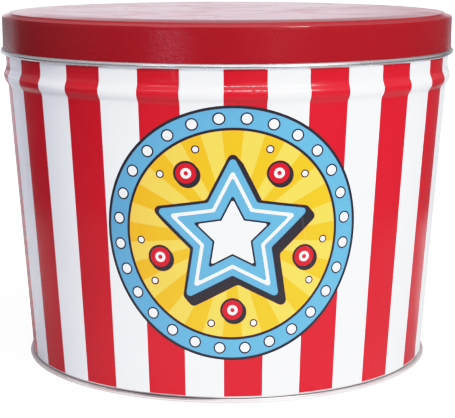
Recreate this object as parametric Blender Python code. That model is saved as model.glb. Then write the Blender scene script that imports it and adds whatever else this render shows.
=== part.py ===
"""A shut, lidded popcorn tin: a round steel tin that tapers towards its base,
with a press-on lid and a seamed bottom end.

Metres, +Z up. The tin stands on the seam of its bottom end at z = 0, and its
axis is the Z axis. Three solids: the filled body, the lid and the bottom end.
"""

import math

import bmesh
import bpy

# ---- sizes, in metres -------------------------------------------------------
STEPS = 72                 # facets round the axis

# wall of the body: a cone, measured where the body meets the bottom seam
WALL_FOOT_Z = 0.0030
WALL_FOOT_R = 0.11117
WALL_SLOPE = 0.0706        # radius gained per metre of height

# rounded shoulder bead under the lid, and the hollow neck above it: radius, height
BEAD = ((0.12262, 0.1668), (0.12247, 0.1643), (0.12250, 0.1628), (0.12262, 0.1618),
        (0.12286, 0.1609), (0.12320, 0.1601), (0.12355, 0.1593), (0.12380, 0.1585),
        (0.12388, 0.1576), (0.12387, 0.1570), (0.12368, 0.1560), (0.12330, 0.1551),
        (0.12274, 0.1542), (0.12214, 0.1533))
BEAD_LOW_Z = 0.1520        # the straight wall ends here

# plain neck that the lid slides over, and the top of the filled body
COLLAR_Z = 0.1684
COLLAR_R = 0.12266
BODY_TOP_Z = 0.1892
BODY_TOP_EDGE = 0.0011

# recess under the body that takes the bottom end
LIP_R = 0.1090
LIP_BEVEL = 0.0004
RECESS_Z = 0.00615

# lid
SKIRT_R = 0.1242           # outside of the skirt
SKIRT_INNER_R = 0.1231
PANEL_R = 0.1040           # flat part of the top panel
PANEL_Z = 0.1922
EDGE_R = 0.1201            # the panel eases down to this edge
EDGE_Z = 0.1915
STEP_R = 0.1206            # foot of the small step outside the edge
STEP_Z = 0.1908
SHOULDER_R = 0.12366       # the sloping shoulder ends here
SHOULDER_Z = 0.1899
CORNER = 0.00045           # corner between the shoulder and the skirt
LID_GAUGE = 0.0011

# rolled curl at the open edge of the lid
CURL_R = 0.1255            # outermost radius
CURL_Z = 0.17076           # middle of the curl
CURL_HALF = 0.00142        # half its height
CURL_DEPTH = CURL_R - SKIRT_R

# bottom end: double seam, chuck wall and countersunk panel
SEAM_R = 0.11306
SEAM_TOP_Z = 0.0027
SEAM_EDGE = 0.0007
FOOT_OUT_R = 0.1124
FOOT_IN_R = 0.1102
CHUCK_OUT_R = 0.1086
CHUCK_IN_R = 0.1076
END_TOP_Z = 0.0058
END_UNDER_Z = 0.0048


def wall_radius(z):
    """Outer radius of the tapered wall at height z."""
    return WALL_FOOT_R + WALL_SLOPE * (z - WALL_FOOT_Z)


def arc(cr, cz, rr, rz, start, end, count):
    """Points on an elliptical quarter, angles in degrees from +r towards +z."""
    points = []
    for i in range(count):
        a = math.radians(start + (end - start) * i / (count - 1))
        points.append((cr + rr * math.cos(a), cz + rz * math.sin(a)))
    return points


def panel_height(r):
    """Top of the lid's panel at radius r: flat, then easing down to the edge."""
    t = max(0.0, (r - PANEL_R) / (EDGE_R - PANEL_R))
    return PANEL_Z - (PANEL_Z - EDGE_Z) * t ** 1.6


def body_profile():
    points = [(0.0, BODY_TOP_Z)]
    points += arc(COLLAR_R - BODY_TOP_EDGE, BODY_TOP_Z - BODY_TOP_EDGE,
                  BODY_TOP_EDGE, BODY_TOP_EDGE, 90, 0, 3)
    points.append((COLLAR_R, COLLAR_Z))
    points += BEAD
    points.append((wall_radius(BEAD_LOW_Z), BEAD_LOW_Z))
    points.append((wall_radius(WALL_FOOT_Z + LIP_BEVEL), WALL_FOOT_Z + LIP_BEVEL))
    points.append((WALL_FOOT_R - LIP_BEVEL, WALL_FOOT_Z))
    points.append((LIP_R, WALL_FOOT_Z))
    points.append((LIP_R, RECESS_Z))
    points.append((0.0, RECESS_Z))
    return points


def lid_profile():
    # panel, from the axis out to its edge
    points = [(r, panel_height(r)) for r in (0.0, 0.4 * PANEL_R, 0.8 * PANEL_R)]
    points += [(PANEL_R + (EDGE_R - PANEL_R) * t, panel_height(PANEL_R + (EDGE_R - PANEL_R) * t))
               for t in (0.0, 0.2, 0.4, 0.6, 0.8, 1.0)]
    # small step, sloping shoulder and the corner into the skirt
    points.append((EDGE_R + 0.6 * (STEP_R - EDGE_R), EDGE_Z - 0.35 * (EDGE_Z - STEP_Z)))
    points.append((STEP_R, STEP_Z))
    points.append((SHOULDER_R, SHOULDER_Z))
    points += arc(SKIRT_R - CORNER, SHOULDER_Z - CORNER, CORNER, CORNER, 60, 0, 3)
    # skirt, then the curl rolled round its lower edge
    points.append((SKIRT_R, CURL_Z + CURL_HALF + 0.0002))
    points += arc(SKIRT_R, CURL_Z, CURL_DEPTH, CURL_HALF, 62, -90, 6)
    points.append((SKIRT_INNER_R + 0.0003, CURL_Z - CURL_HALF + 0.0001))
    points.append((SKIRT_INNER_R, CURL_Z - CURL_HALF + 0.0005))
    # inside of the skirt, under the shoulder and the panel
    points.append((SKIRT_INNER_R, SHOULDER_Z - LID_GAUGE))
    points.append((SKIRT_INNER_R - 0.0005, SHOULDER_Z - 0.4 * LID_GAUGE))
    points.append((STEP_R, STEP_Z - LID_GAUGE))
    points.append((EDGE_R - 0.0006, EDGE_Z - LID_GAUGE))
    points += [(r, panel_height(r) - LID_GAUGE) for r in (PANEL_R, 0.6 * PANEL_R, 0.3 * PANEL_R, 0.0)]
    return points


def bottom_profile():
    points = [(0.0, END_TOP_Z), (CHUCK_OUT_R - 0.0007, END_TOP_Z),
              (CHUCK_OUT_R, END_TOP_Z - 0.0007), (CHUCK_OUT_R, SEAM_TOP_Z)]
    points += arc(SEAM_R - SEAM_EDGE, SEAM_TOP_Z - SEAM_EDGE,
                  SEAM_EDGE, SEAM_EDGE, 90, 0, 3)
    points.append((SEAM_R, SEAM_EDGE * 0.8))
    points.append((FOOT_OUT_R, 0.0))
    points.append((FOOT_IN_R, 0.0))
    points.append((FOOT_IN_R - 0.0008, 0.0004))
    points.append((CHUCK_IN_R, 0.0019))
    points.append((CHUCK_IN_R - 0.0002, END_UNDER_Z - 0.0006))
    points.append((CHUCK_IN_R - 0.0012, END_UNDER_Z))
    points.append((0.0, END_UNDER_Z))
    return points


def material(name, colour, roughness, metallic, coat):
    mat = bpy.data.materials.new(name)
    mat.use_nodes = True
    shader = mat.node_tree.nodes["Principled BSDF"]
    shader.inputs["Base Color"].default_value = (*colour, 1.0)
    shader.inputs["Roughness"].default_value = roughness
    shader.inputs["Metallic"].default_value = metallic
    shader.inputs["Coat Weight"].default_value = coat
    mat.diffuse_color = (*colour, 1.0)
    return mat


def turned(name, profile, mat):
    """A closed solid turned from a half profile that starts and ends on the axis."""
    mesh = bpy.data.meshes.new(name)
    bm = bmesh.new()
    verts = [bm.verts.new((r, 0.0, z)) for r, z in profile]
    for a, b in zip(verts, verts[1:]):
        bm.edges.new((a, b))
    bm.to_mesh(mesh)
    bm.free()
    obj = bpy.data.objects.new(name, mesh)
    bpy.context.scene.collection.objects.link(obj)
    turn = obj.modifiers.new("turn", "SCREW")
    turn.axis = "Z"
    turn.angle = math.tau
    turn.screw_offset = 0.0
    turn.steps = STEPS
    turn.render_steps = STEPS
    turn.use_merge_vertices = True
    turn.merge_threshold = 0.00001
    turn.use_smooth_shade = True
    mesh.materials.append(mat)
    return obj


def main():
    for obj in list(bpy.data.objects):
        bpy.data.objects.remove(obj, do_unlink=True)

    printed = material("printed_wall", (0.87, 0.62, 0.60), 0.30, 0.0, 0.5)
    red = material("red_lacquer", (0.45, 0.016, 0.022), 0.22, 0.0, 0.6)
    steel = material("bare_tinplate", (0.72, 0.72, 0.70), 0.30, 1.0, 0.0)

    turned("tin_body", body_profile(), printed)
    turned("lid", lid_profile(), red)
    turned("bottom_end", bottom_profile(), steel)


main()
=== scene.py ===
"""Looks of the lidded popcorn tin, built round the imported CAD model.

Pieces: tin_wall (striped, printed wall with a round badge and a side seam),
lid_shell (red lacquered lid), lid_curl (its rolled bare edge) and
bottom_shell (the seamed bottom end). Lengths named _MM are millimetres,
everything that reaches a mesh is in metres.
"""

import math

import bpy
import numpy as np
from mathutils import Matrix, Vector
from mathutils.geometry import delaunay_2d_cdt


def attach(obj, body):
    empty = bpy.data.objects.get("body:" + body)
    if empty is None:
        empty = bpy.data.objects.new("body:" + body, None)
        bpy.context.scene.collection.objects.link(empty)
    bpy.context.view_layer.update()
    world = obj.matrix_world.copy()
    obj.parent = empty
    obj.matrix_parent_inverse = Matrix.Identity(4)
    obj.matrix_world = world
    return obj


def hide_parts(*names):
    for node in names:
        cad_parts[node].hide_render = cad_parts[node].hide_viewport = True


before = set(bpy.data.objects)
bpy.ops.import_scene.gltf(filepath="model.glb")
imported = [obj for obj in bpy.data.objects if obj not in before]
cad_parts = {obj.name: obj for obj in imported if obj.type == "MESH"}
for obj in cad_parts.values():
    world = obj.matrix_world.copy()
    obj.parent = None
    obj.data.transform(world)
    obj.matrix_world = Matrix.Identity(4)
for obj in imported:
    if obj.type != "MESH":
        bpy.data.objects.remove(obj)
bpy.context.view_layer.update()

MM = 0.001

# ============================================================ numbers and curves


def smooth(x, a, b):
    """0 below a, 1 above b, smooth between."""
    t = np.clip((np.asarray(x, float) - a) / (b - a), 0.0, 1.0)
    return t * t * (3.0 - 2.0 * t)


def pchip(xs, ys):
    """A smooth curve through the points that never overshoots them."""
    xs, ys = np.asarray(xs, float), np.asarray(ys, float)
    h = np.diff(xs)
    d = np.diff(ys) / h
    m = np.zeros(len(xs))
    m[0], m[-1] = d[0], d[-1]
    for i in range(1, len(xs) - 1):
        if d[i - 1] * d[i] > 0:
            w1, w2 = 2 * h[i] + h[i - 1], h[i] + 2 * h[i - 1]
            m[i] = (w1 + w2) / (w1 / d[i - 1] + w2 / d[i])

    def curve(x):
        x = np.asarray(x, float)
        i = np.clip(np.searchsorted(xs, x) - 1, 0, len(xs) - 2)
        t = (x - xs[i]) / h[i]
        return ((1 + 2 * t) * (1 - t) ** 2 * ys[i] + t * (1 - t) ** 2 * h[i] * m[i]
                + t * t * (3 - 2 * t) * ys[i + 1] + t * t * (t - 1) * h[i] * m[i + 1])

    return curve


def inside(points, poly):
    """Which of the points lie inside a closed polygon."""
    points, poly = np.asarray(points, float), np.asarray(poly, float)
    x, y = points[:, 0][:, None], points[:, 1][:, None]
    x0, y0 = poly[:, 0][None], poly[:, 1][None]
    x1, y1 = np.roll(poly[:, 0], -1)[None], np.roll(poly[:, 1], -1)[None]
    crosses = (y0 > y) != (y1 > y)
    with np.errstate(divide="ignore", invalid="ignore"):
        at = x0 + (y - y0) * (x1 - x0) / (y1 - y0)
    return (crosses & (x < at)).sum(1) % 2 == 1


def fillet(poly, radius, steps=5):
    """The polygon with every corner rounded to about this radius."""
    out = []
    n = len(poly)
    for i in range(n):
        a, p, b = (np.array(poly[(i + k) % n], float) for k in (-1, 0, 1))
        u, v = a - p, b - p
        lu, lv = np.linalg.norm(u), np.linalg.norm(v)
        u, v = u / lu, v / lv
        half = math.acos(max(-1.0, min(1.0, float(u @ v)))) / 2
        reach = min(radius / math.tan(half), 0.42 * lu, 0.42 * lv)
        r = reach * math.tan(half)
        centre = p + (u + v) / np.linalg.norm(u + v) * (r / math.sin(half))
        s, e = p + u * reach - centre, p + v * reach - centre
        turn = math.atan2(s[0] * e[1] - s[1] * e[0], float(s @ e))
        start = math.atan2(s[1], s[0])
        for k in range(steps + 1):
            t = start + turn * k / steps
            out.append(tuple(centre + r * np.array([math.cos(t), math.sin(t)])))
    return out


def circle(cx, cy, r, n, phase=0.0):
    return [(cx + r * math.cos(phase + math.tau * i / n),
             cy + r * math.sin(phase + math.tau * i / n)) for i in range(n)]


# ============================================================ node materials


class Graph:
    """A small wrapper that builds a material's nodes."""

    def __init__(self, name):
        self.mat = bpy.data.materials.new(name)
        self.mat.use_nodes = True
        self.tree = self.mat.node_tree
        self.tree.nodes.clear()
        self.out = self.add("ShaderNodeOutputMaterial")
        self.shader = self.add("ShaderNodeBsdfPrincipled")
        self.tree.links.new(self.shader.outputs[0], self.out.inputs["Surface"])
        self.place = self.add("ShaderNodeTexCoord").outputs["Object"]
        split = self.add("ShaderNodeSeparateXYZ")
        self.tree.links.new(self.place, split.inputs[0])
        self.x, self.y, self.z = split.outputs

    def add(self, kind, **values):
        node = self.tree.nodes.new(kind)
        for key, value in values.items():
            setattr(node, key, value)
        return node

    def feed(self, socket, value):
        if isinstance(value, bpy.types.NodeSocket):
            self.tree.links.new(value, socket)
        elif isinstance(value, (tuple, list)) and len(value) == 3 and socket.type == "RGBA":
            socket.default_value = (*value, 1.0)
        else:
            socket.default_value = value

    def math(self, op, a, b=0.0, c=0.0, clamp=False):
        node = self.add("ShaderNodeMath", operation=op, use_clamp=clamp)
        for socket, value in zip(node.inputs, (a, b, c)):
            self.feed(socket, value)
        return node.outputs[0]

    def vector(self, x, y, z):
        node = self.add("ShaderNodeCombineXYZ")
        for socket, value in zip(node.inputs, (x, y, z)):
            self.feed(socket, value)
        return node.outputs[0]

    def noise(self, scale, detail=2.0, rough=0.5, at=None, twist=0.0):
        node = self.add("ShaderNodeTexNoise")
        self.feed(node.inputs["Vector"], self.place if at is None else at)
        node.inputs["Scale"].default_value = scale
        node.inputs["Detail"].default_value = detail
        node.inputs["Roughness"].default_value = rough
        node.inputs["Distortion"].default_value = twist
        return node.outputs["Fac"]

    def cells(self, scale, feature="F1", at=None):
        node = self.add("ShaderNodeTexVoronoi", feature=feature)
        self.feed(node.inputs["Vector"], self.place if at is None else at)
        node.inputs["Scale"].default_value = scale
        return node

    def span(self, value, a, b, to_a=0.0, to_b=1.0):
        node = self.add("ShaderNodeMapRange", interpolation_type="SMOOTHSTEP")
        for key, number in (("Value", value), ("From Min", a), ("From Max", b),
                            ("To Min", to_a), ("To Max", to_b)):
            self.feed(node.inputs[key], number)
        return node.outputs[0]

    def mix(self, fac, a, b, kind="MIX"):
        node = self.add("ShaderNodeMix", data_type="RGBA", blend_type=kind)
        self.feed(node.inputs[0], fac)
        self.feed(node.inputs[6], a)
        self.feed(node.inputs[7], b)
        return node.outputs[2]

    def polar(self):
        """Distance from the axis and angle round it."""
        r = self.math("SQRT", self.math("ADD", self.math("MULTIPLY", self.x, self.x),
                                        self.math("MULTIPLY", self.y, self.y)))
        return r, self.math("ARCTAN2", self.x, self.math("MULTIPLY", self.y, -1.0))

    def bumps(self, *layers):
        """Stacks (height, strength, distance) layers, coarse first."""
        last = None
        for height, strength, distance in layers:
            node = self.add("ShaderNodeBump")
            node.inputs["Strength"].default_value = strength
            node.inputs["Distance"].default_value = distance
            self.feed(node.inputs["Height"], height)
            if last is not None:
                self.feed(node.inputs["Normal"], last)
            last = node.outputs[0]
        return last

    def set(self, **values):
        names = {"colour": "Base Color", "rough": "Roughness", "metal": "Metallic",
                 "normal": "Normal", "ior": "IOR", "spec": "Specular IOR Level",
                 "coat": "Coat Weight", "coat_rough": "Coat Roughness",
                 "aniso": "Anisotropic"}
        for key, value in values.items():
            self.feed(self.shader.inputs[names[key]], value)
        return self.mat


def scratches(g, density, scale, stretch, lean):
    """Sparse fine hairline scratches, 0 to 1."""
    along = g.vector(g.math("MULTIPLY", g.x, stretch[0]),
                     g.math("MULTIPLY", g.y, stretch[1]),
                     g.math("ADD", g.math("MULTIPLY", g.z, stretch[2]),
                            g.math("MULTIPLY", g.x, lean)))
    line = g.span(g.noise(scale, 1.0, 0.4, along, 0.3), 0.5 - density, 0.5, 0.0, 1.0)
    back = g.span(g.noise(scale, 1.0, 0.4, along, 0.3), 0.5, 0.5 + density, 1.0, 0.0)
    patch = g.span(g.noise(23.0, 2.0, 0.5), 0.56, 0.68)
    return g.math("MULTIPLY", g.math("MULTIPLY", line, back), patch)


GLINT_HIGH, GLINT_LOW = 0.16135, 0.15925   # heights of two painted highlight lines on the bead, in metres


def ink(name, colour, tint, rough=0.2, tone=1.0):
    """Printed and varnished tinplate in one ink colour. tint is what the ink drifts towards."""
    g = Graph(name)
    # slow drift of the ink film, and the fine mottle of a litho print
    drift = g.noise(11.0, 3.0, 0.55)
    mottle = g.noise(620.0, 2.0, 0.6)
    base = g.mix(g.span(drift, 0.32, 0.72, 0.0, 0.5 * tone), colour, tint)
    base = g.mix(g.span(mottle, 0.35, 0.75, 0.0, 0.16 * tone), base, tint)
    # a hint of the press's steps: faint bands down the sheet
    band = g.noise(1.0, 2.0, 0.5, g.vector(0.0, 0.0, g.math("MULTIPLY", g.z, 130.0)))
    base = g.mix(g.span(band, 0.4, 0.7, 0.0, 0.10 * tone), base, tint)
    # rubbing on the crest of the bead, and where the foot meets the seam
    crest = g.math("MULTIPLY", g.span(g.z, 0.1559, 0.1571), g.span(g.z, 0.1579, 0.1592, 1.0, 0.0))
    foot = g.span(g.z, 0.0030, 0.0062, 1.0, 0.0)
    specks = g.span(g.noise(420.0, 3.0, 0.65), 0.60, 0.68)
    worn = g.math("MULTIPLY", g.math("ADD", g.math("MULTIPLY", crest, 0.25),
                                     g.math("MULTIPLY", foot, 0.35)), specks, clamp=True)
    # two thin painted highlight lines along the bead, broken, in three places round it: lamp glints painted into the
    # ink's colour
    r0, angle = g.polar()
    lines = 0.0
    for level in (GLINT_HIGH, GLINT_LOW):
        off = g.math("ABSOLUTE", g.math("SUBTRACT", g.z, level))
        lines = g.math("ADD", lines, g.span(off, 0.00007, 0.00022, 1.0, 0.0))
    turn = g.math("COSINE", g.math("MULTIPLY", g.math("SUBTRACT", angle, 0.131), 3.0))
    broken = g.span(g.noise(1.0, 3.0, 0.7, g.vector(g.math("MULTIPLY", angle, 62.0), 0.0,
                                                  g.math("MULTIPLY", g.z, 1500.0))), 0.42, 0.60)
    glint_lines = g.math("MULTIPLY", g.math("MULTIPLY", lines, broken), g.span(turn, 0.84, 0.90), clamp=True)
    fine = scratches(g, 0.012, 26.0, (1.0, 1.0, 0.22), 0.35)
    base = g.mix(g.math("MULTIPLY", worn, 0.10), base, (0.62, 0.61, 0.60))
    base = g.mix(g.math("MULTIPLY", fine, 0.02), base, (0.80, 0.79, 0.79))
    # painted highlight: the two pale glint lines on the bead
    base = g.mix(g.math("MULTIPLY", glint_lines, 0.55), base, (0.86, 0.85, 0.86))
    # varnish: mostly even, with handling marks and duller rubbed spots
    smudge = g.span(g.noise(38.0, 4.0, 0.6, None, 0.8), 0.45, 0.78)
    r = g.math("ADD", rough, g.math("MULTIPLY", smudge, 0.07))
    r = g.math("ADD", r, g.math("MULTIPLY", g.noise(260.0, 2.0), 0.035))
    r = g.math("ADD", r, g.math("MULTIPLY", worn, 0.25))
    r = g.math("ADD", r, g.math("MULTIPLY", fine, 0.05))
    normal = g.bumps((g.noise(17.0, 1.0, 0.4), 0.55, 0.0009),
                     (g.noise(340.0, 2.0, 0.5), 0.10, 0.00012),
                     (g.math("MULTIPLY", fine, -1.0), 0.03, 0.00003))
    return g.set(colour=base, rough=r, normal=normal, ior=1.5, spec=0.3)


def lacquer(name, colour, deep, light):
    """Glossy red lacquer over pressed tinplate."""
    g = Graph(name)
    r0, angle = g.polar()
    drift = g.noise(8.0, 3.0, 0.5)
    base = g.mix(g.span(drift, 0.30, 0.75, 0.0, 0.55), colour, deep)
    # painted shade: the lacquer is painted slightly darker in the small step and just above the curl
    step_shade = g.math("MULTIPLY", g.span(r0, 0.1202, 0.1204), g.span(r0, 0.1207, 0.1212, 1.0, 0.0))
    low = g.span(g.z, 0.1721, 0.1734, 1.0, 0.0)
    base = g.mix(g.math("MULTIPLY", g.math("MAXIMUM", step_shade, low), 0.6), base, deep)
    # and thins on the edge of the step and on the tight corner of the shoulder
    crest = g.math("MULTIPLY", g.span(r0, 0.1197, 0.1201), g.span(r0, 0.1201, 0.1203, 1.0, 0.0))
    corner = g.math("MULTIPLY", g.span(g.z, 0.1892, 0.1896), g.span(r0, 0.1237, 0.1240))
    edge = g.math("MAXIMUM", crest, corner)
    base = g.mix(g.math("MULTIPLY", edge, 0.10), base, light)
    grain = g.span(g.noise(700.0, 2.0, 0.6), 0.35, 0.75, 0.0, 0.14)
    base = g.mix(grain, base, deep)
    # tiny chips to bare metal on the worn edges only
    chips = g.span(g.noise(520.0, 3.0, 0.7), 0.655, 0.69)
    where = g.span(g.noise(30.0, 2.0, 0.5), 0.50, 0.64)
    chips = g.math("MULTIPLY", g.math("MULTIPLY", chips, where), edge)
    base = g.mix(g.math("MULTIPLY", chips, 0.35), base, (0.60, 0.58, 0.57))
    fine = scratches(g, 0.010, 21.0, (1.0, 0.35, 1.0), 0.3)
    base = g.mix(g.math("MULTIPLY", fine, 0.04), base, light)
    smudge = g.span(g.noise(29.0, 4.0, 0.6, None, 1.0), 0.42, 0.78)
    r = g.math("ADD", 0.12, g.math("MULTIPLY", smudge, 0.06))
    r = g.math("ADD", r, g.math("MULTIPLY", g.noise(210.0, 2.0), 0.03))
    r = g.math("ADD", r, g.math("MULTIPLY", g.math("ADD", chips, fine), 0.04))
    # fine orange peel, and on the skirt the faint drawing lines of the press
    peel = g.noise(300.0, 2.0, 0.5)
    skirt = g.span(g.z, 0.1880, 0.1892, 1.0, 0.0)
    drawn = g.math("MULTIPLY", skirt, g.noise(1.0, 2.0, 0.55, g.vector(
        g.math("MULTIPLY", g.polar()[1], 70.0), g.math("MULTIPLY", g.z, 700.0), 0.0)))
    normal = g.bumps((g.noise(13.0, 1.0, 0.4), 0.09, 0.0009),
                     (peel, 0.10, 0.00012), (drawn, 0.85, 0.00013),
                     (g.math("MULTIPLY", chips, -1.0), 0.3, 0.00006))
    return g.set(colour=base, rough=r, normal=normal, ior=1.5, spec=0.5)


def tinplate(name, colour=(0.66, 0.67, 0.69), rough=0.26, stain=0.35, metal=0.8, dark_reflection=0.0):
    """Bare tinplate, rolled round the axis: fine rings, a faint spangle and dull spots.

    dark_reflection is how dark the foot is painted in three places round it, a painted reflection of dark surroundings.
    """
    g = Graph(name)
    r0, angle = g.polar()
    rings = g.noise(1.0, 3.0, 0.65, g.vector(g.math("MULTIPLY", r0, 9000.0),
                                             g.math("MULTIPLY", angle, 5.0),
                                             g.math("MULTIPLY", g.z, 9000.0)))
    spangle = g.cells(260.0).outputs["Distance"]
    dull = g.span(g.noise(45.0, 4.0, 0.6), 0.45, 0.72)
    base = g.mix(g.span(rings, 0.3, 0.7, 0.0, 0.25), colour, (0.80, 0.80, 0.81))
    base = g.mix(g.math("MULTIPLY", g.span(spangle, 0.2, 0.8), 0.12), base, (0.50, 0.51, 0.54))
    base = g.mix(g.math("MULTIPLY", dull, stain), base, (0.47, 0.46, 0.46))
    # painted shade: darker from the top of the seam roll upwards, close to the wall above, and under the foot
    tuck = g.span(g.z, 0.0011, 0.0017)
    tuck = g.math("MULTIPLY", tuck, g.span(g.z, 0.02, 0.03, 1.0, 0.0))
    base = g.mix(g.math("MULTIPLY", tuck, 0.12), base, (0.20, 0.18, 0.18))
    # painted reflection: the foot is darkened in three places round it and left clean where a bright glint falls
    if dark_reflection:
        dark = g.span(g.math("COSINE", g.math("MULTIPLY", g.math("ADD", angle, 0.29), 3.0)), 0.55, 0.95, 0.38, 0.90)
        clean = g.span(g.math("COSINE", g.math("MULTIPLY", g.math("ADD", angle, -0.13), 3.0)), 0.82, 0.96, 1.0, 0.0)
        places = g.math("MULTIPLY", dark, clean)
        held = g.math("MULTIPLY", g.span(g.z, 0.0010, 0.0014), g.span(g.z, 0.0025, 0.0032, 1.0, 0.25))
        patchy = g.span(g.noise(34.0, 2.0, 0.5), 0.25, 0.6, 0.6, 1.0)
        base = g.mix(g.math("MULTIPLY", g.math("MULTIPLY", g.math("MULTIPLY", held, places), patchy), dark_reflection),
                     base, (0.09, 0.05, 0.055))
    r = g.math("ADD", rough, g.math("MULTIPLY", dull, 0.14))
    r = g.math("ADD", r, g.math("MULTIPLY", rings, 0.10))
    normal = g.bumps((rings, 0.05, 0.00006), (g.noise(60.0, 2.0), 0.20, 0.0003))
    return g.set(colour=base, rough=r, normal=normal, metal=metal)


# ============================================================ mesh tools


def pack_islands(islands, gap):
    """Places flat islands, given as (loops, uv in mm, scale), in a unit square, tallest first."""
    boxes = []
    for loops, uv, scale in islands:
        uv = (np.asarray(uv, float) - np.min(uv, axis=0)) * scale
        w, h = uv.max(0)
        if w > 3.0 * h:
            uv = np.stack([h - uv[:, 1], uv[:, 0]], 1) if False else uv
        boxes.append([np.asarray(loops), uv, w, h])
    boxes.sort(key=lambda b: (-round(b[3], 3), -round(b[2], 3)))
    side = max(math.sqrt(sum((b[2] + gap) * (b[3] + gap) for b in boxes)),
               max(max(b[2], b[3]) for b in boxes) + 2 * gap)
    while True:
        x = y = gap
        row = 0.0
        spots = []
        for _, _, w, h in boxes:
            if x + w + gap > side:
                x, y, row = gap, y + row + gap, 0.0
            spots.append((x, y))
            x += w + gap
            row = max(row, h)
        if y + row + gap <= side:
            break
        side *= 1.01
    return [(b[0], (b[1] + np.array(s)) / side) for b, s in zip(boxes, spots)], side


def write_map(mesh, islands, gap=2.0):
    layer = mesh.uv_layers.new(name="OFBake")
    flat = np.zeros((len(mesh.loops), 2), np.float32)
    placed, side = pack_islands(islands, gap)
    for loops, uv in placed:
        flat[loops] = uv
    layer.uv.foreach_set("vector", flat.ravel())
    return side


def make_object(name, verts, faces, slots, mats, normals):
    """normals holds one vector per face corner, in order."""
    mesh = bpy.data.meshes.new(name)
    mesh.from_pydata([tuple(v) for v in verts], [], faces)
    for mat in mats:
        mesh.materials.append(mat)
    mesh.polygons.foreach_set("material_index", np.asarray(slots, np.int32))
    mesh.polygons.foreach_set("use_smooth", np.ones(len(faces), bool))
    mesh.update()
    mesh.normals_split_custom_set([tuple(n) for n in normals])
    obj = bpy.data.objects.new(name, mesh)
    bpy.context.scene.collection.objects.link(obj)
    return obj


def turned(name, profile, steps, mats, closed=False, split=33.0, hidden=(), slot_of=None):
    """A closed solid turned from a profile of (r, z) in mm.

    It runs outwards over the top, down the outside and back underneath. closed is for
    a ring, whose last point joins its first. hidden holds the segments that get little
    of the map. slot_of gives a segment's material.
    """
    pts = np.array(profile, float)
    n = len(pts)
    segs = [(i, (i + 1) % n) for i in range(n if closed else n - 1)]
    d = np.array([pts[b] - pts[a] for a, b in segs])
    length = np.linalg.norm(d, axis=1)
    flat = np.stack([-d[:, 1], d[:, 0]], 1) / length[:, None]

    def corner(k, other):
        if other is None:
            return flat[k]
        bend = math.degrees(math.acos(max(-1, min(1, float(flat[k] @ flat[other])))))
        if bend > split:
            return flat[k]
        v = flat[k] * length[k] + flat[other] * length[other]
        return v / np.linalg.norm(v)

    angles = [math.tau * j / steps for j in range(steps)]
    ring = np.array([(math.sin(a), -math.cos(a)) for a in angles])
    verts, index = [], {}
    for i, (r, z) in enumerate(pts):
        if r < 1e-6:
            index[i] = len(verts)
            verts.append((0.0, 0.0, z * MM))
        else:
            index[i] = len(verts)
            verts += [(r * x * MM, r * y * MM, z * MM) for x, y in ring]
    faces, slots, normals, islands = [], [], [], []
    loop = 0
    m = len(segs)
    # runs of segments that unroll together: flat ones lie as discs, steep ones as strips
    kind = ["hidden" if k in hidden else "disc" if abs(flat[k][1]) > 0.72 else "strip"
            for k in range(m)]
    runs = []
    for k in range(m):
        if runs and kind[k] == kind[k - 1] and runs[-1][-1] == k - 1:
            runs[-1].append(k)
        else:
            runs.append([k])
    for run in runs:
        strip = kind[run[0]] == "strip"
        shown = kind[run[0]] != "hidden"
        parts = 6 if strip else 1
        height = np.concatenate([[0], np.cumsum(length[run])])
        radius = float(np.mean([pts[list(segs[k])][:, 0].mean() for k in run]))
        loops = [[] for _ in range(parts)]
        uvs = [[] for _ in range(parts)]
        for place, k in enumerate(run):
            a, b = segs[k]
            before = (k - 1) % m if closed else (k - 1 if k else None)
            after = (k + 1) % m if closed else (k + 1 if k < m - 1 else None)
            na, nb = corner(k, before), corner(k, after)
            ra, rb = pts[a][0], pts[b][0]
            for j in range(steps):
                j2 = (j + 1) % steps
                part = j * parts // steps
                ends = []
                if ra > 1e-6:
                    ends.append((index[a] + j, j, ra, height[place], na))
                else:
                    ends.append((index[a], j + 0.5, 0.0, height[place], na))
                if rb > 1e-6:
                    ends.append((index[b] + j, j, rb, height[place + 1], nb))
                    ends.append((index[b] + j2, j + 1, rb, height[place + 1], nb))
                else:
                    ends.append((index[b], j + 0.5, 0.0, height[place + 1], nb))
                if ra > 1e-6:
                    ends.append((index[a] + j2, j + 1, ra, height[place], na))
                faces.append([e[0] for e in ends])
                slots.append(slot_of(k) if slot_of else 0)
                for _, jj, r, h, nv in ends:
                    t = math.tau * jj / steps
                    s, c = math.sin(t), math.cos(t)
                    normals.append((nv[0] * s, -nv[0] * c, nv[1]))
                    loops[part].append(loop)
                    uvs[part].append((t * radius, -h) if strip else (r * s, -r * c))
                    loop += 1
        for ls, us in zip(loops, uvs):
            islands.append((ls, np.array(us), 1.0 if shown else 0.2))
    obj = make_object(name, verts, faces, slots, mats, normals)
    write_map(obj.data, islands)
    return obj


# ============================================================ the wall

WALL_FOOT_Z_MM, WALL_FOOT_R_MM, WALL_SLOPE = 3.0, 111.17, 0.0706
CONE_TOP_MM = 151.7        # the straight cone ends here, below the bead
FOOT_TOP_MM = 3.1          # the sheet is left unprinted below this
UNROLL_MM = 117.0          # radius at which the print is laid out flat
STRIPE_DEG, STRIPE_PHASE = 10.0, -0.795
SEAM_AT, SEAM_HALF_MM, SEAM_RISE_MM = 180.0 + STRIPE_PHASE, 2.3, 0.32


def cone(z):
    return WALL_FOOT_R_MM + WALL_SLOPE * (np.asarray(z, float) - WALL_FOOT_Z_MM)


bead = pchip(
    [151.7, 152.5, 153.3, 154.2, 155.1, 156.0, 157.0, 157.9, 158.6, 159.3, 160.1, 160.9,
     161.8, 162.8, 164.2, 165.6, 167.0, 168.4],
    [float(cone(151.7)), 121.81, 122.14, 122.74, 123.30, 123.68, 123.87, 123.88, 123.78,
     123.55, 123.20, 122.86, 122.62, 122.50, 122.47, 122.52, 122.62, 122.66])


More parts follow.
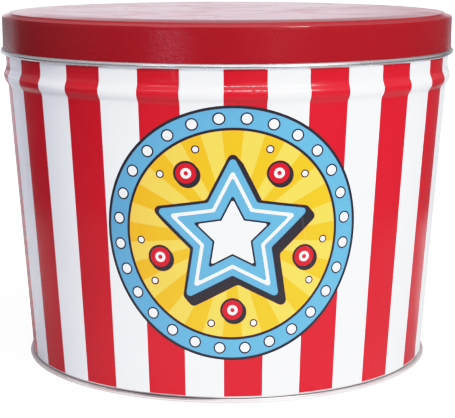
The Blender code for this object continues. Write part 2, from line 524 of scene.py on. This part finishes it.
def wall_radius(z):
    z = np.asarray(z, float)
    return np.where(z <= CONE_TOP_MM, cone(z),
                    np.where(z >= 168.4, 122.66, bead(np.clip(z, CONE_TOP_MM, 168.4))))


def seam_rise(deg):
    """How far the folded side seam stands out at this angle."""
    away = (np.asarray(deg, float) - SEAM_AT + 180.0) % 360.0 - 180.0
    arc = np.abs(away) * math.radians(1) * UNROLL_MM
    return SEAM_RISE_MM * (1.0 - smooth(arc, SEAM_HALF_MM - 0.25, SEAM_HALF_MM + 0.25))


def on_wall(deg, z):
    t = np.radians(deg)
    r = wall_radius(z) + seam_rise(deg)
    return np.stack([r * np.sin(t), -r * np.cos(t), np.broadcast_to(z, r.shape)], -1) * MM


def wall_normal(deg, z):
    deg, z = np.asarray(deg, float), np.asarray(z, float)
    e = 0.02
    along = on_wall(deg + e, z) - on_wall(deg - e, z)
    # no reaching across the corner where the neck becomes the collar
    up = on_wall(deg, z + e) - on_wall(deg, z - e)
    n = np.cross(along, up)
    return n / np.linalg.norm(n, axis=-1, keepdims=True)


# ---- the badge, in mm on the unrolled wall, round its own centre
BADGE_AT = (2.8, 87.4)
RING_OUT, RING_BLUE, RING_IN, FIELD = 64.8, 63.3, 53.9, 52.5
BULBS, BULB_R = 28, 58.6
STAR_TIP, STAR_WAIST = 40.5, 20.4
SHADOW = (2.7, -3.1)
RAYS = 32


def star(grow, round_to):
    corners = []
    for i in range(10):
        a = math.pi / 2 + math.pi * i / 5
        corners.append(((STAR_TIP if i % 2 == 0 else STAR_WAIST) * math.cos(a),
                        (STAR_TIP if i % 2 == 0 else STAR_WAIST) * math.sin(a)))
    p, q = np.array(corners[0]), np.array(corners[1])
    reach = abs(p[0] * q[1] - p[1] * q[0]) / np.linalg.norm(q - p)
    k = (reach + grow) / reach
    return fillet([(x * k, y * k) for x, y in corners], round_to)


def badge_shapes():
    """(ink, polygon) from the bottom of the print to the top."""
    shapes = [("dark", circle(0, 0, RING_OUT, 200)),
              ("blue", circle(0, 0, RING_BLUE, 200)),
              ("dark", circle(0, 0, RING_IN, 160)),
              ("rays", circle(0, 0, FIELD, 160))]
    for i in range(BULBS):
        a = math.pi / 2 + math.tau * (i + 0.5) / BULBS
        x, y = BULB_R * math.cos(a), BULB_R * math.sin(a)
        shapes.append(("dark", circle(x, y, 3.15, 22, a)))
        shapes.append(("white", circle(x, y, 2.35, 20, a)))
    for i in range(5):
        a = -math.pi / 2 + math.tau * i / 5
        x, y = 38.4 * math.cos(a), 38.4 * math.sin(a)
        shapes.append(("dark", circle(x + 0.9, y - 1.1, 6.3, 30, a)))
        shapes.append(("dark", circle(x, y, 6.3, 30, a)))
        shapes.append(("red", circle(x, y, 5.1, 28, a)))
        shapes.append(("white", circle(x, y, 2.6, 18, a)))
        shapes.append(("red", circle(x, y, 1.2, 12, a)))
        for side in (-1, 1):
            b = a + side * math.radians(13.5)
            x2, y2 = 46.6 * math.cos(b), 46.6 * math.sin(b)
            shapes.append(("dark", circle(x2, y2, 2.1, 16, b)))
            shapes.append(("white", circle(x2, y2, 1.35, 14, b)))
    rim = star(1.5, 2.6)
    moved = [(x + SHADOW[0], y + SHADOW[1]) for x, y in rim]
    for i in range(len(rim)):
        j = (i + 1) % len(rim)
        shapes.append(("dark", [rim[i], rim[j], moved[j], moved[i]]))
    shapes += [("dark", moved), ("dark", rim),
               ("blue", star(0.0, 1.8)),
               ("white", star(-3.3, 1.1)),
               ("blue", star(-4.9, 0.8)),
               ("dark", star(-8.9, 0.8)),
               ("white", star(-9.9, 0.7)),
               ]
    return shapes


INKS = ["white", "red", "yellow", "pale", "blue", "dark", "bare", "foot"]


def badge_ink(points):
    """The ink at each point of the badge, painted from the bottom up."""
    got = np.full(len(points), -1)
    for name, poly in badge_shapes():
        hit = inside(points, poly)
        if name == "rays":
            turn = (np.arctan2(points[:, 1], points[:, 0]) / math.tau * RAYS + 0.5)
            ray = np.floor(turn).astype(int) % 2
            got[hit] = np.where(ray[hit] == 0, INKS.index("yellow"), INKS.index("pale"))
        else:
            got[hit] = INKS.index(name)
    return got


def build_wall(mats):
    # columns: every 2 degrees from a stripe's edge, with more at the side seam
    start = STRIPE_PHASE - 180.0
    near = [0.6, 0.9, 1.0, 1.06, 1.125, 1.19, 1.25, 1.4]
    cols = sorted(set([round(start + 2.0 * j, 6) for j in range(180)]
                      + [round(start + a, 6) for a in near]
                      + [round(start + 360.0 - a, 6) for a in near]))
    ncol = len(cols)
    # rows, top to bottom
    rows = ([188.1, 179.0, 170.2, 168.8, 168.4, 167.7, 167.0, 166.3, 165.6, 164.9]
            + [164.2 - 0.6 * i for i in range(3)]
            + [162.4 - 0.4 * i for i in range(27)] + [CONE_TOP_MM])
    rows = [round(r, 4) for r in rows]
    window_top = len(rows) - 1
    low = [round(CONE_TOP_MM - (CONE_TOP_MM - 15.4) * i / 19, 4) for i in range(1, 20)]
    window_low = window_top + 19
    rows += low + [9.5, 4.6, FOOT_TOP_MM, 2.5]
    first, last = -40.0 + STRIPE_PHASE, 42.0 + STRIPE_PHASE
    c0 = min(range(ncol), key=lambda i: abs(cols[i] - first))
    c1 = min(range(ncol), key=lambda i: abs(cols[i] - last))

    pos, key = [], {}          # (deg, z) of each vertex

    def vertex(deg, z):
        k = (round(deg, 5), round(z, 4))
        if k not in key:
            key[k] = len(pos)
            pos.append(k)
        return key[k]

    grid = {}
    for i, z in enumerate(rows):
        for j, deg in enumerate(cols):
            if window_top < i < window_low and c0 < j < c1:
                continue
            grid[i, j] = vertex(deg, z)

    faces, slots, corner_deg = [], [], []
    seam_bare = (SEAM_HALF_MM - 0.12) / UNROLL_MM * 180 / math.pi

    def stripe(deg):
        return INKS.index("red") if int(math.floor((deg - STRIPE_PHASE) / STRIPE_DEG)) % 2 == 0 else INKS.index("white")

    for i in range(len(rows) - 1):
        for j in range(ncol):
            if window_top <= i < window_low and c0 <= j < c1:
                continue
            j2 = (j + 1) % ncol
            right = cols[j2] + (360.0 if j2 == 0 else 0.0)
            middle = (cols[j] + right) / 2
            faces.append([grid[i, j], grid[i + 1, j], grid[i + 1, j2], grid[i, j2]])
            corner_deg.append([cols[j], cols[j], right, right])
            away = (middle - SEAM_AT + 180.0) % 360.0 - 180.0
            if -1.25 < away < -1.0:
                slots.append(INKS.index("bare"))
            elif rows[i] <= FOOT_TOP_MM:
                slots.append(INKS.index("foot"))
            else:
                slots.append(stripe(middle))

    # the badge's window, cut along every edge of colour
    k = math.radians(1) * UNROLL_MM
    points, edges = [], []

    def add_line(line, loop=True):
        at = len(points)
        points.extend(line)
        edges.extend((at + a, at + a + 1) for a in range(len(line) - 1))
        if loop:
            edges.append((at + len(line) - 1, at))

    border = ([(cols[j], rows[window_low]) for j in range(c0, c1)]
              + [(cols[c1], rows[i]) for i in range(window_low, window_top, -1)]
              + [(cols[j], rows[window_top]) for j in range(c1, c0, -1)]
              + [(cols[c0], rows[i]) for i in range(window_top, window_low)])
    add_line([(d * k, z) for d, z in border])
    for name, poly in badge_shapes():
        add_line([(x + BADGE_AT[0], y + BADGE_AT[1]) for x, y in poly])
    for i in range(RAYS):
        a = math.tau * (i + 0.5) / RAYS
        line = [(BADGE_AT[0] + r * math.cos(a), BADGE_AT[1] + r * math.sin(a))
                for r in np.linspace(17.0, FIELD, 8)]
        add_line(line, False)
    edge_deg = STRIPE_PHASE + STRIPE_DEG * math.ceil((first - STRIPE_PHASE) / STRIPE_DEG + 0.01)
    while edge_deg < last - 0.01:
        s = edge_deg * k
        gap = RING_OUT ** 2 - (s - BADGE_AT[0]) ** 2
        ends = [(rows[window_low], rows[window_top])]
        if gap > 0:
            h = math.sqrt(gap)
            ends = [(rows[window_low], BADGE_AT[1] - h), (BADGE_AT[1] + h, rows[window_top])]
        for a, b in ends:
            count = max(1, int(round((b - a) / 6.0)))
            add_line([(s, a + (b - a) * t / count) for t in range(count + 1)], False)
        edge_deg += STRIPE_DEG
    # free points between the lines keep the triangles even
    fixed = []
    for a, b in edges:
        p, q = np.array(points[a]), np.array(points[b])
        steps = max(1, int(np.linalg.norm(q - p) / 0.8))
        fixed += [p + (q - p) * t / steps for t in range(steps + 1)]
    fixed = np.array(fixed)
    fill = []
    pitch = 4.6
    y = rows[window_low] + pitch * 0.5
    odd = 0
    while y < rows[window_top]:
        x = cols[c0] * k + pitch * (0.5 + 0.5 * odd)
        while x < cols[c1] * k:
            if np.min(((fixed - (x, y)) ** 2).sum(1)) > 1.7 ** 2:
                fill.append((x, y))
            x += pitch
        y += pitch * 0.87
        odd = 1 - odd
    points += fill
    out = delaunay_2d_cdt([Vector(p) for p in points], edges, [], 0, 1e-4)
    flat, tris = np.array([tuple(v) for v in out[0]]), [list(t) for t in out[2]]
    # neighbours closer than a hair become one vertex
    weld = {}
    mapped = np.arange(len(flat))
    cell = 0.03
    for i, (x, y) in enumerate(flat):
        cx, cy = int(math.floor(x / cell)), int(math.floor(y / cell))
        for dx in (-1, 0, 1):
            for dy in (-1, 0, 1):
                for o in weld.get((cx + dx, cy + dy), ()):
                    if (flat[o][0] - x) ** 2 + (flat[o][1] - y) ** 2 < cell ** 2:
                        mapped[i] = o
                        break
                else:
                    continue
                break
            else:
                continue
            break
        else:
            weld.setdefault((cx, cy), []).append(i)
    tris = [[int(mapped[v]) for v in t] for t in tris]
    tris = [t for t in tris if len(set(t)) == 3]
    flat_of = {}
    edge_keys = {}
    for d, z in border:
        edge_keys[(round(d * k, 3), round(z, 3))] = (d, z)
    keys = []
    for x, y in flat:
        known = edge_keys.get((round(x, 3), round(y, 3)))
        keys.append(known if known else (x / k, y))
    middle = np.array([np.mean([flat[v] for v in t], axis=0) for t in tris])
    got = badge_ink(middle - np.array(BADGE_AT))
    for t, m, g in zip(tris, middle, got):
        a, b, c = (flat[v] for v in t)
        area = (b[0] - a[0]) * (c[1] - a[1]) - (c[0] - a[0]) * (b[1] - a[1])
        if abs(area) < 1e-7:
            continue
        if area < 0:
            t = t[::-1]
        faces.append([vertex(*keys[v]) for v in t])
        corner_deg.append([keys[v][0] for v in t])
        slots.append(int(g) if g >= 0 else stripe(m[0] / k))
    outer = len(faces)

    spots = np.array(pos)
    verts = on_wall(spots[:, 0], spots[:, 1])
    face_normals = wall_normal(spots[:, 0], spots[:, 1])
    normals = [face_normals[v] for f in faces for v in f]
    verts = [tuple(v) for v in verts]
    run = np.concatenate([[0], np.cumsum([math.hypot(float(wall_radius(z + 0.2) - wall_radius(z)), 0.2)
                                          for z in np.arange(3.0, 189.0, 0.2)])])
    zs = np.concatenate([[3.0], np.arange(3.0, 189.0, 0.2) + 0.2])

    def unrolled(deg, z):
        return deg * k, float(np.interp(z, zs, run))

    # caps: the top under the lid and the recess over the bottom end
    def cap(edge_row, ring_profile, up):
        rim = [grid[edge_row, j] for j in range(ncol)]
        last_ring = rim
        for r, z in ring_profile:
            if r > 0:
                ring = []
                for deg in cols:
                    t = math.radians(deg)
                    ring.append(len(verts))
                    verts.append((r * MM * math.sin(t), -r * MM * math.cos(t), z * MM))
                for j in range(ncol):
                    j2 = (j + 1) % ncol
                    f = [last_ring[j], last_ring[j2], ring[j2], ring[j]]
                    faces.append(f if up else f[::-1])
                last_ring = ring
            else:
                centre = len(verts)
                verts.append((0.0, 0.0, z * MM))
                for j in range(ncol):
                    j2 = (j + 1) % ncol
                    f = [last_ring[j], last_ring[j2], centre]
                    faces.append(f if up else f[::-1])

    cap(0, [(122.34, 188.88), (121.5, 189.2), (60.0, 189.2), (0.0, 189.2)], True)
    cap(len(rows) - 1, [(110.8, 2.1), (109.0, 2.1), (109.0, 6.15), (60.0, 6.15), (0.0, 6.15)], False)
    for f in faces[outer:]:
        a, b, c = (np.array(verts[v]) for v in f[:3])
        n = np.cross(b - a, c - a)
        n /= np.linalg.norm(n)
        normals += [n] * len(f)
        slots.append(INKS.index("bare"))

    obj = make_object("tin_wall", verts, faces, slots, mats, normals)

    # islands: faces of one ink that touch each other
    parent = list(range(outer))

    def root(i):
        while parent[i] != i:
            parent[i] = parent[parent[i]]
            i = parent[i]
        return i

    seen = {}
    for i in range(outer):
        f = faces[i]
        # the map is cut where the wall closes on itself
        for a, b, da, db in zip(f, f[1:] + f[:1], corner_deg[i], corner_deg[i][1:] + corner_deg[i][:1]):
            e = (min(a, b), max(a, b), slots[i], round(min(da, db), 3))
            if e in seen:
                parent[root(i)] = root(seen[e])
            else:
                seen[e] = i
    groups = {}
    at = 0
    for i in range(outer):
        g = groups.setdefault(root(i), ([], []))
        for v, deg in zip(faces[i], corner_deg[i]):
            g[0].append(at)
            g[1].append(unrolled(deg, pos[v][1]))
            at += 1
    islands = [(g[0], np.array(g[1]), 1.0) for g in groups.values()]
    caps = ([], [])
    for f in faces[outer:]:
        for v in f:
            caps[0].append(at)
            caps[1].append((verts[v][0] / MM, verts[v][1] / MM))
            at += 1
    islands.append((caps[0], np.array(caps[1]), 0.12))
    side = write_map(obj.data, islands, 1.3)
    print("wall:", len(faces), "faces,", len(verts), "verts,", len(islands), "islands, map side", round(side), "mm")
    return obj


# ============================================================ profiles of the turned pieces


def arc(cr, cz, rr, rz, start, end, count):
    return [(cr + rr * math.cos(math.radians(start + (end - start) * i / (count - 1))),
             cz + rz * math.sin(math.radians(start + (end - start) * i / (count - 1))))
            for i in range(count)]


def lid_profile():
    """Flat panel that eases down towards a small step, a sloping shoulder, a tight corner, the skirt."""
    pts = [(r, 192.20 - 0.03 * (r / 104.0) ** 2) for r in np.linspace(0, 104.0, 8)]
    slope = pchip([104.0, 107.0, 110.0, 114.0, 118.0, 119.5, 120.1],
                  [0.001, 0.018, 0.048, 0.051, 0.054, 0.062, 0.13])
    r, z = 104.0, 192.17
    while r < 120.05:
        step = 0.05
        z -= step * float(slope(r + 0.5 * step))
        r += step
        if abs(r / 0.75 - round(r / 0.75)) < 0.01 or r > 120.05:
            pts.append((r, z))
    pts += [(120.22, z - 0.05), (120.32, z - 0.14), (120.39, z - 0.26), (120.46, z - 0.44),
            (120.52, z - 0.58), (120.6, z - 0.68), (120.74, z - 0.73), (121.0, z - 0.79)]
    # the shoulder is a plain cone, turned sharply into the skirt
    pts += [(121.7, z - 0.99), (122.4, z - 1.2), (123.1, z - 1.41), (123.65, z - 1.58)]
    pts += arc(123.78, z - 2.04, 0.42, 0.42, 72, 0, 8)
    pts += [(124.2, 186.0), (124.2, 181.0), (124.2, 176.0), (124.2, 172.25)]
    inner = len(pts) - 1
    pts += [(123.15, 172.25), (123.15, 188.6), (122.6, 189.3), (120.8, 189.9), (119.5, 190.3),
            (112.0, 190.9), (60.0, 191.0), (0.0, 191.05)]
    return pts, list(range(inner, len(pts) - 1))


def curl_profile():
    """The sheet's edge rolled outwards: its bare inside shows."""
    ring = arc(124.05, 170.76, 1.44, 1.42, 96, -122, 22)
    return ring + [(123.2, 170.1), (123.15, 172.1), (123.9, 172.16)]


def bottom_profile():
    top = [(0.0, 5.8), (60.0, 5.8), (107.9, 5.8), (108.4, 5.6), (108.6, 5.1), (108.6, 1.95),
           (109.0, 1.8)]
    # rolled double seam: full nearly to the foot, and tucked in under the wall above the roll
    seam = pchip([0.0, 0.07, 0.2, 0.4, 0.62, 0.8, 0.95, 1.08, 1.2, 1.32, 1.44, 1.6, 1.76, 1.82],
                 [112.1, 112.6, 112.92, 113.06, 113.08, 113.03, 112.96, 112.84, 112.62, 112.3, 112.0, 111.86,
                  111.8, 111.7])
    out = [(float(seam(z)), z) for z in
           (1.82, 1.76, 1.6, 1.5, 1.44, 1.38, 1.32, 1.26, 1.2, 1.14, 1.08, 1.01, 0.95, 0.87, 0.8, 0.7, 0.6, 0.5,
            0.4, 0.3, 0.2, 0.13, 0.07, 0.03, 0.0)]
    foot = [(110.9, 0.0), (110.3, 0.06), (109.8, 0.3), (109.2, 0.8), (108.4, 1.5), (107.8, 2.1),
            (107.55, 2.8), (107.45, 3.6), (107.2, 4.3), (106.6, 4.72), (105.9, 4.8)]
    panel = []
    # pressed rings in the panel, seen from underneath
    for r in np.linspace(104.9, 0.0, 150):
        z = 4.8
        for at, half, deep in ((98.0, 2.6, -0.62), (90.5, 2.6, 0.55), (62.0, 2.2, -0.45)):
            z += deep * float(1 - smooth(abs(r - at), 0.35 * half, half)) * 0.9
        panel.append((float(r), z))
    return top + out + foot + panel


# ============================================================ materials and pieces

WHITE = (0.83, 0.88, 0.955)
RED = (0.50, 0.0095, 0.0215)
inks = {
    "white": ink("ink_white", WHITE, (0.77, 0.79, 0.84), 0.19),
    "red": ink("ink_red", RED, (0.42, 0.0055, 0.013), 0.19),
    "yellow": ink("ink_yellow", (0.79, 0.385, 0.016), (0.74, 0.335, 0.010), 0.19),
    "pale": ink("ink_pale_yellow", (0.85, 0.495, 0.085), (0.81, 0.44, 0.055), 0.19),
    "blue": ink("ink_light_blue", (0.104, 0.325, 0.525), (0.080, 0.275, 0.465), 0.19),
    "dark": ink("ink_dark", (0.023, 0.019, 0.027), (0.016, 0.014, 0.019), 0.19),
    "bare": tinplate("side_tinplate", (0.60, 0.60, 0.62), 0.3, 0.25),
    "foot": tinplate("foot_tinplate", (0.86, 0.84, 0.85), 0.28, 0.10, 0.35, 0.9),
}
wall = build_wall([inks[n] for n in INKS])
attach(wall, "root")
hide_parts("tin_body")

red = lacquer("lid_lacquer", (0.258, 0.005, 0.0105), (0.199, 0.004, 0.008), (0.40, 0.04, 0.045))
profile, unseen = lid_profile()
lid = turned("lid_shell", profile, 288, [red], hidden=unseen)
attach(lid, "root")
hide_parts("lid")

metal = tinplate("curl_tinplate", (0.73, 0.74, 0.765), 0.19, 0.10, 0.92)
profile = curl_profile()
curl = turned("lid_curl", profile, 288, [metal], closed=True, hidden=[len(profile) - 3, len(profile) - 2])
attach(curl, "root")
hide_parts("lid")

# the bottom end's steel is tinted pink, a painted reflection of the red print above it
steel = tinplate("end_tinplate", (0.76, 0.70, 0.70), 0.28, 0.12, 0.5, 0.8)
bottom = turned("bottom_shell", bottom_profile(), 216, [steel], hidden=[0, 1, 2, 3, 4, 5])
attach(bottom, "root")
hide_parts("bottom_end")

# ============================================================ stage, light and camera


def stage_floor():
    steps, reach = 96, 0.40
    rings = [0.0, 0.05, 0.1, 0.15, 0.22, 0.3, 0.36, reach]
    verts, faces = [(0.0, 0.0, 0.0)], []
    for r in rings[1:]:
        verts += [(r * math.sin(math.tau * j / steps), -r * math.cos(math.tau * j / steps), 0.0)
                  for j in range(steps)]
    for j in range(steps):
        faces.append([0, 1 + j, 1 + (j + 1) % steps])
    for i in range(len(rings) - 2):
        a, b = 1 + i * steps, 1 + (i + 1) * steps
        for j in range(steps):
            j2 = (j + 1) % steps
            faces.append([a + j, b + j, b + j2, a + j2])
    mesh = bpy.data.meshes.new("floor")
    mesh.from_pydata(verts, [], faces)
    mesh.update()
    obj = bpy.data.objects.new("floor", mesh)
    obj.location.z = -0.0001
    bpy.context.scene.collection.objects.link(obj)
    g = Graph("floor_paper")
    tone = g.mix(g.span(g.noise(5.0, 3.0), 0.35, 0.7), (0.93, 0.93, 0.935), (0.95, 0.95, 0.955))
    g.set(colour=tone, rough=0.65, normal=g.bumps((g.noise(400.0, 2.0), 0.1, 0.0002)))
    g.shader.inputs["Emission Color"].default_value = (1, 1, 1, 1)
    g.shader.inputs["Emission Strength"].default_value = 1.3
    # the paper is overexposed in the picture, but lights the tin only softly
    soft = g.add("ShaderNodeBsdfDiffuse")
    r0, angle = g.polar()
    # painted shadow: for the light it throws back, the paper is darkest beside the tin, a little paler in front and
    # palest behind
    turn = g.math("DIVIDE", g.math("ADD", g.y, 0.035), g.math("MAXIMUM", g.math("SUBTRACT", r0, 0.08), 0.01))
    turn = g.math("SUBTRACT", turn, g.span(g.x, 0.0, 0.1, 0.0, 0.18))
    turn = g.math("ADD", turn, g.span(r0, 0.12, 0.14, 0.35, 0.0))
    grey = g.math("ADD", g.span(turn, -1.2, -0.3, 0.38, 0.27), g.span(turn, 0.48, 0.74, 0.0, 0.33))
    g.feed(soft.inputs["Color"], g.vector(grey, grey, g.math("MULTIPLY", grey, 1.02)))
    pick = g.add("ShaderNodeMixShader")
    g.feed(pick.inputs[0], g.add("ShaderNodeLightPath").outputs["Is Camera Ray"])
    g.tree.links.new(soft.outputs[0], pick.inputs[1])
    g.tree.links.new(g.shader.outputs[0], pick.inputs[2])
    g.tree.links.new(pick.outputs[0], g.out.inputs["Surface"])
    mesh.materials.append(g.mat)


def soft_world():
    world = bpy.data.worlds.new("studio")
    bpy.context.scene.world = world
    world.use_nodes = True
    tree = world.node_tree
    tree.nodes.clear()
    new, link = tree.nodes.new, tree.links.new
    out, shown, lit = new("ShaderNodeOutputWorld"), new("ShaderNodeBackground"), new("ShaderNodeBackground")
    pick, path = new("ShaderNodeMixShader"), new("ShaderNodeLightPath")
    at, split = new("ShaderNodeTexCoord"), new("ShaderNodeSeparateXYZ")
    link(at.outputs["Generated"], split.inputs[0])
    height = new("ShaderNodeMath")
    height.operation = "MULTIPLY_ADD"
    height.inputs[1].default_value, height.inputs[2].default_value = 0.5, 0.5
    link(split.outputs["Z"], height.inputs[0])

    def ramp(stops):
        node = new("ShaderNodeValToRGB")
        node.color_ramp.interpolation = "EASE"
        e = node.color_ramp.elements
        while len(e) < len(stops):
            e.new(0.5)
        for i, (sine, value) in enumerate(stops):
            e[i].position = sine * 0.5 + 0.5
            e[i].color = (value, value, value, 1.0)
        link(height.outputs[0], node.inputs[0])
        return node.outputs[0]

    front = ramp([(-1.0, 0.45), (-0.42, 0.40), (-0.33, 0.10), (0.40, 0.10), (0.58, 0.42), (1.0, 1.00)])
    back = ramp([(-1.0, 0.80), (-0.30, 0.80), (-0.21, 0.82), (-0.165, 0.78), (-0.15, 0.82), (-0.135, 0.96),
                 (-0.12, 1.04), (-0.097, 1.04), (-0.087, 0.85), (-0.080, 0.62), (-0.072, 0.31), (-0.03, 0.31),
                 (0.015, 1.25), (0.045, 1.06), (0.10, 1.00), (0.155, 0.28), (0.24, 0.20), (0.42, 0.26),
                 (0.60, 0.42), (0.80, 0.80), (1.0, 1.10)])

    def span(value, a, b, to_a=0.0, to_b=1.0):
        node = new("ShaderNodeMapRange")
        node.interpolation_type = "SMOOTHSTEP"
        for key, number in (("From Min", a), ("From Max", b), ("To Min", to_a), ("To Max", to_b)):
            node.inputs[key].default_value = number
        link(value, node.inputs["Value"])
        return node.outputs[0]

    def every(parts):
        product = parts[0]
        for part in parts[1:]:
            node = new("ShaderNodeMath")
            node.operation = "MULTIPLY"
            link(product, node.inputs[0])
            link(part, node.inputs[1])
            product = node.outputs[0]
        return product

    # the backdrop behind the tin, a little duller towards the right
    dull = new("ShaderNodeMath")
    dull.operation = "MULTIPLY_ADD"
    link(span(split.outputs["X"], 0.06, 0.13), dull.inputs[0])
    link(span(split.outputs["Z"], -0.02, 0.0, 0.0, -0.25), dull.inputs[1])
    dull.inputs[2].default_value = 1.0
    dull = dull.outputs[0]
    both = new("ShaderNodeMix")
    both.data_type = "RGBA"
    tint = new("ShaderNodeMix")
    tint.data_type, tint.blend_type = "RGBA", "MULTIPLY"
    tint.inputs[0].default_value = 1.0
    grey = new("ShaderNodeCombineColor")
    for socket, part in zip(grey.inputs, (0.95, 0.97, 1.06)):
        scaled = new("ShaderNodeMath")
        scaled.operation = "MULTIPLY"
        link(dull, scaled.inputs[0])
        scaled.inputs[1].default_value = part
        link(scaled.outputs[0], socket)
    link(back, tint.inputs[6])
    link(grey.outputs[0], tint.inputs[7])
    # the backdrop reaches further round on the left
    reach = new("ShaderNodeMath")
    reach.operation = "MULTIPLY_ADD"
    link(split.outputs["X"], reach.inputs[0])
    reach.inputs[1].default_value = -0.15
    link(split.outputs["Y"], reach.inputs[2])
    link(span(reach.outputs[0], 0.73, 0.85), both.inputs[0])
    # a soft pale screen low down to the left of the camera, seen in the skirt of the lid
    edges = [span(split.outputs["X"], -0.63, -0.50), span(split.outputs["X"], -0.44, -0.26, 1.0, 0.0),
             span(split.outputs["Z"], -0.091, -0.072), span(split.outputs["Z"], -0.058, -0.030, 1.0, 0.0),
             span(split.outputs["Y"], -0.2, 0.0, 1.0, 0.0)]
    screen = new("ShaderNodeMix")
    screen.data_type = "RGBA"
    screen.inputs[7].default_value = (3.0, 3.0, 4.3, 1.0)
    link(every(edges), screen.inputs[0])
    link(front, screen.inputs[6])
    # a soft glow high up behind the camera, seen where the lid's small step turns up
    edges = [span(split.outputs["X"], -0.60, -0.05), span(split.outputs["X"], 0.05, 0.62, 1.0, 0.0),
             span(split.outputs["Z"], 0.38, 0.52), span(split.outputs["Z"], 0.76, 0.90, 1.0, 0.0),
             span(split.outputs["Y"], -0.3, 0.0, 1.0, 0.0)]
    glow = new("ShaderNodeMix")
    glow.data_type = "RGBA"
    glow.inputs[7].default_value = (1.6, 1.5, 1.75, 1.0)
    link(every(edges), glow.inputs[0])
    link(screen.outputs[2], glow.inputs[6])
    # and dim side walls, seen in the upper half of the curl
    far = new("ShaderNodeMath")
    far.operation = "ABSOLUTE"
    link(split.outputs["X"], far.inputs[0])
    edges = [span(far.outputs[0], 0.55, 0.80), span(split.outputs["Z"], 0.03, 0.12),
             span(split.outputs["Z"], 0.38, 0.50, 1.0, 0.0)]
    sides = new("ShaderNodeMix")
    sides.data_type = "RGBA"
    sides.inputs[7].default_value = (0.44, 0.45, 0.48, 1.0)
    link(every(edges), sides.inputs[0])
    link(glow.outputs[2], sides.inputs[6])
    # dark cloth low down on the far left
    edges = [span(split.outputs["X"], -0.90, -0.72, 1.0, 0.0), span(split.outputs["Z"], -0.36, -0.32),
             span(split.outputs["Z"], -0.11, -0.07, 1.0, 0.0)]
    cloth = new("ShaderNodeMix")
    cloth.data_type = "RGBA"
    cloth.inputs[7].default_value = (0.03, 0.03, 0.035, 1.0)
    link(every(edges), cloth.inputs[0])
    link(sides.outputs[2], cloth.inputs[6])
    link(cloth.outputs[2], both.inputs[6])
    link(tint.outputs[2], both.inputs[7])
    link(both.outputs[2], lit.inputs["Color"])
    lit.inputs["Strength"].default_value = 1.0
    shown.inputs["Color"].default_value = (1.0, 1.0, 1.0, 1.0)
    shown.inputs["Strength"].default_value = 3.0
    link(path.outputs["Is Camera Ray"], pick.inputs[0])
    link(lit.outputs[0], pick.inputs[1])
    link(shown.outputs[0], pick.inputs[2])
    link(pick.outputs[0], out.inputs["Surface"])


def soft_highlights():
    """Rolls bright tones off gently, as film does, in place of a hard clip at white."""
    view = bpy.context.scene.view_settings
    view.view_transform = "Standard"
    view.use_curve_mapping = True
    curves = view.curve_mapping
    curves.use_clip = True
    curves.clip_max_x, curves.clip_max_y = 4.0, 1.0
    curve = curves.curves[3]
    stops = [(0.0, 0.0), (0.25, 0.25), (0.5, 0.5), (0.75, 0.73), (1.0, 0.85), (1.3, 0.92), (1.7, 0.965),
             (2.2, 0.99), (3.0, 1.0), (4.0, 1.0)]
    curve.points[0].location, curve.points[1].location = stops[0], stops[-1]
    for at in stops[1:-1]:
        curve.points.new(*at)
    curves.update()


def soft_box(name, place, look_at, size, watts, colour=(1, 1, 1), gloss=True, light=True):
    data = bpy.data.lights.new(name, "AREA")
    data.shape = "RECTANGLE"
    data.size, data.size_y = size
    data.energy = watts
    data.color = colour
    obj = bpy.data.objects.new(name, data)
    obj.location = place
    obj.rotation_euler = (Vector(look_at) - Vector(place)).to_track_quat("-Z", "Y").to_euler()
    obj.visible_camera = False
    obj.visible_glossy = gloss
    obj.visible_diffuse = light
    bpy.context.scene.collection.objects.link(obj)
    return obj


stage_floor()
soft_world()
# big soft sources that only light, and small ones that also glint in the lacquer
soft_box("key", (0.77, -1.58, 0.56), (0.0, 0.0, 0.09), (1.0, 0.8), 40.0, gloss=False)
soft_box("above", (0.15, -0.35, 1.55), (0.0, 0.0, 0.15), (0.8, 0.8), 19.0, gloss=False)
soft_box("fill", (-1.62, -0.30, 0.30), (0.0, 0.0, 0.09), (0.9, 0.6), 5.3, (1.0, 0.87, 0.93), gloss=False)
soft_box("rim", (1.05, 0.0, 0.66), (0.0, 0.0, 0.15), (0.6, 0.5), 0.6, gloss=False)
kicker = bpy.data.lights.new("kicker", "SPOT")
kicker.energy, kicker.spot_size, kicker.spot_blend, kicker.shadow_soft_size = 9.0, math.radians(4.6), 0.6, 0.004
lamp = bpy.data.objects.new("kicker", kicker)
lamp.location = (0.95, 0.05, 0.42)
lamp.rotation_euler = (Vector((0.115, -0.045, 0.203)) - lamp.location).to_track_quat("-Z", "Y").to_euler()
lamp.visible_glossy = False
bpy.context.scene.collection.objects.link(lamp)
soft_box("right", (1.00, -1.42, 0.98), (0.0, 0.0, 0.15), (0.30, 0.12), 26.0, light=False)
soft_box("middle", (0.03, -1.72, 0.98), (0.0, 0.0, 0.15), (0.34, 0.12), 1.8, light=False)
soft_box("left", (-0.93, -1.46, 0.98), (0.0, 0.0, 0.15), (0.40, 0.12), 2.4, light=False)

camera = bpy.data.cameras.new("camera")
camera.lens = 115.39
camera.sensor_width = 36.0
camera.shift_x = 0.0013
camera.clip_start, camera.clip_end = 0.01, 50.0
eye = bpy.data.objects.new("camera", camera)
eye.location = (0.0, -0.81912, 0.23070)
eye.rotation_euler = (math.radians(90.0 - 10.49), 0.0, 0.0)
bpy.context.scene.collection.objects.link(eye)
bpy.context.scene.camera = eye
soft_highlights()
